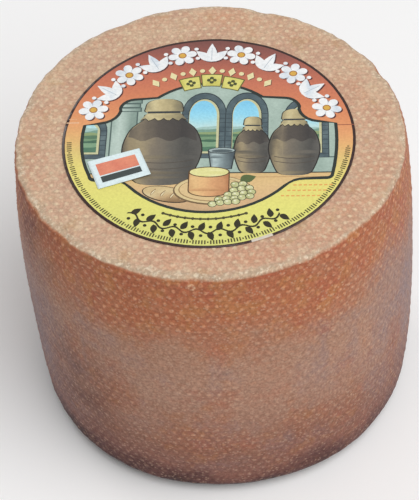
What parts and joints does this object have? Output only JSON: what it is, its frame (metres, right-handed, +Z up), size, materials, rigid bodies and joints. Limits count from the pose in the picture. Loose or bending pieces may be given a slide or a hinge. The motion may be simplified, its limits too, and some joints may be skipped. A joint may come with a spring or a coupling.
{
  "type": "cheese wheel",
  "caption": "Small drum-shaped whole cheese with a dimpled washed rind, a round printed paper label on top and a small paper sticker on the label.",
  "frame": {"origin": "middle of the cheese's box, on the underside that it stands on", "axes": "+Z up out of the labelled top face, -Y towards the foot of the label's picture, +X to its right"},
  "size_m": [0.1092, 0.1078, 0.0922],
  "materials": {
    "washed_rind": "matt to faintly greasy, with a raised dot imprint",
    "printed_label_paper": "satin coated paper, printed in colours",
    "printed_sticker_paper": "satin coated paper, printed in two colours"
  },
  "bodies": {
    "root": {"cheese_wheel": "washed_rind", "paper_label": "printed_label_paper", "paper_sticker": "printed_sticker_paper"}
  },
  "joints": []
}
